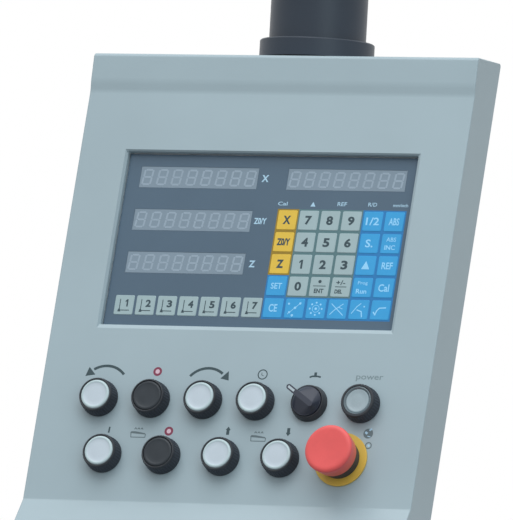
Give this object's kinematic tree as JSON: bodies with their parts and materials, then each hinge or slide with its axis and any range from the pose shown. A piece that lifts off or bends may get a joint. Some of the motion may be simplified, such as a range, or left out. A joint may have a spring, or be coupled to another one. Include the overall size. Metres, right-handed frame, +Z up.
{
  "type": "machine control pendant",
  "caption": "Leaning sheet-metal operator console with a recessed digital readout, push-buttons, a selector, a pilot lamp and an emergency stop, hung on a swivel from a tube.",
  "frame": {"origin": "centre of the suspension tube's upper end", "axes": "+Z up along the tube's axis, the console's face looks towards -Y, +X to the operator's right"},
  "size_m": [0.34, 0.2639, 0.5827],
  "materials": {
    "bearing_bronze": "matte",
    "bearing_plastic": "matte",
    "black_cap": "satin",
    "black_plastic": "satin",
    "block_grey": "matte",
    "board_green": "solder mask",
    "case_metal": "matte",
    "console_paint": "satin light blue-grey",
    "disc_yellow": "satin",
    "display_grey": "matte",
    "frame_metal": "matte",
    "gasket_rubber": "matte",
    "lamp_grey": "frosted",
    "mushroom_red": "satin",
    "overlay_film": "satin printed film",
    "pane_smoke": "glossy smoked",
    "spring_steel": "plain",
    "standoff_brass": "plain",
    "steel": "bright zinc",
    "terminal_grey": "matte",
    "tube_paint": "semi-gloss dark blue-black",
    "white_cap": "satin"
  },
  "bodies": {
    "hanger": {"suspension_tube": "tube_paint", "retaining_collar": "steel", "collar_screw": "steel", "stop_pin": "steel", "thrust_washer": "bearing_bronze"},
    "button_spindle_left": {"button_spindle_left": "white_cap"},
    "button_spindle_stop": {"button_spindle_stop": "black_cap"},
    "button_spindle_right": {"button_spindle_right": "white_cap"},
    "button_jog": {"button_jog": "white_cap"},
    "button_coolant_on": {"button_coolant_on": "white_cap"},
    "button_coolant_off": {"button_coolant_off": "black_cap"},
    "button_table_up": {"button_table_up": "white_cap"},
    "button_table_down": {"button_table_down": "white_cap"},
    "selector": {"selector_knob": "black_plastic"},
    "stop_plunger": {"stop_stem": "steel"},
    "stop_head": {"stop_mushroom": "mushroom_red"},
    "console": {"swivel_flange": "tube_paint", "flange_gasket": "gasket_rubber", "swivel_liner": "bearing_plastic", "ring_nut": "steel", "roof_plate": "steel", "stop_block": "steel", "front_shell": "console_paint", "rear_housing": "console_paint", "housing_screws": "steel", "rear_cover": "console_paint", "cover_screws": "steel", "readout_frame": "frame_metal", "readout_overlay": "overlay_film", "display_panes": "pane_smoke", "display_x": "display_grey", "display_y": "display_grey", "display_z": "display_grey", "display_message": "display_grey", "readout_board": "board_green", "readout_standoffs": "standoff_brass", "readout_case": "case_metal", "readout_sockets": "steel", "readout_nuts": "steel", "bezel_spindle_left": "black_plastic", "bezel_spindle_stop": "black_plastic", "bezel_spindle_right": "black_plastic", "bezel_jog": "black_plastic", "bezel_coolant_on": "black_plastic", "bezel_coolant_off": "black_plastic", "bezel_table_up": "black_plastic", "bezel_table_down": "black_plastic", "selector_bezel": "black_plastic", "lamp_bezel": "black_plastic", "lamp_lens": "lamp_grey", "stop_disc": "disc_yellow", "stop_collar": "black_plastic", "stop_spring": "spring_steel", "lock_nuts": "steel", "contact_blocks": "block_grey", "button_springs": "spring_steel", "terminal_rail": "steel", "terminal_strip": "terminal_grey"}
  },
  "joints": [
    {"name": "console_swivel", "type": "hinge", "parent": "hanger", "child": "console", "pos_m": [0, 0, -0.14], "axis": [0, 0, 1], "range_deg": [-165, 165]},
    {"name": "spindle_left_press", "type": "slide", "parent": "console", "child": "button_spindle_left", "axis": [0, 0.9703, -0.2419], "range_m": [0, 0.004], "stiffness_N_per_m": 400, "springref_m": -0.003, "deforming": ["button_springs"]},
    {"name": "spindle_stop_press", "type": "slide", "parent": "console", "child": "button_spindle_stop", "axis": [0, 0.9703, -0.2419], "range_m": [0, 0.004], "stiffness_N_per_m": 400, "springref_m": -0.003, "deforming": ["button_springs"]},
    {"name": "spindle_right_press", "type": "slide", "parent": "console", "child": "button_spindle_right", "axis": [0, 0.9703, -0.2419], "range_m": [0, 0.004], "stiffness_N_per_m": 400, "springref_m": -0.003, "deforming": ["button_springs"]},
    {"name": "jog_press", "type": "slide", "parent": "console", "child": "button_jog", "axis": [0, 0.9703, -0.2419], "range_m": [0, 0.004], "stiffness_N_per_m": 400, "springref_m": -0.003, "deforming": ["button_springs"]},
    {"name": "coolant_on_press", "type": "slide", "parent": "console", "child": "button_coolant_on", "axis": [0, 0.9703, -0.2419], "range_m": [0, 0.004], "stiffness_N_per_m": 400, "springref_m": -0.003, "deforming": ["button_springs"]},
    {"name": "coolant_off_press", "type": "slide", "parent": "console", "child": "button_coolant_off", "axis": [0, 0.9703, -0.2419], "range_m": [0, 0.004], "stiffness_N_per_m": 400, "springref_m": -0.003, "deforming": ["button_springs"]},
    {"name": "table_up_press", "type": "slide", "parent": "console", "child": "button_table_up", "axis": [0, 0.9703, -0.2419], "range_m": [0, 0.004], "stiffness_N_per_m": 400, "springref_m": -0.003, "deforming": ["button_springs"]},
    {"name": "table_down_press", "type": "slide", "parent": "console", "child": "button_table_down", "axis": [0, 0.9703, -0.2419], "range_m": [0, 0.004], "stiffness_N_per_m": 400, "springref_m": -0.003, "deforming": ["button_springs"]},
    {"name": "selector_turn", "type": "hinge", "parent": "console", "child": "selector", "pos_m": [0.0685, -0.13165, -0.42548], "axis": [0, 0.9703, -0.2419], "range_deg": [0, 112]},
    {"name": "stop_press", "type": "slide", "parent": "console", "child": "stop_plunger", "axis": [0, 0.9703, -0.2419], "range_m": [0, 0.005], "deforming": ["stop_spring"]},
    {"name": "stop_twist", "type": "hinge", "parent": "stop_plunger", "child": "stop_head", "pos_m": [0.1035, -0.1429, -0.4706], "axis": [0, 0.9703, -0.2419], "range_deg": [0, 40], "stiffness_Nm_per_rad": 0.05, "springref_deg": -5.73}
  ]
}
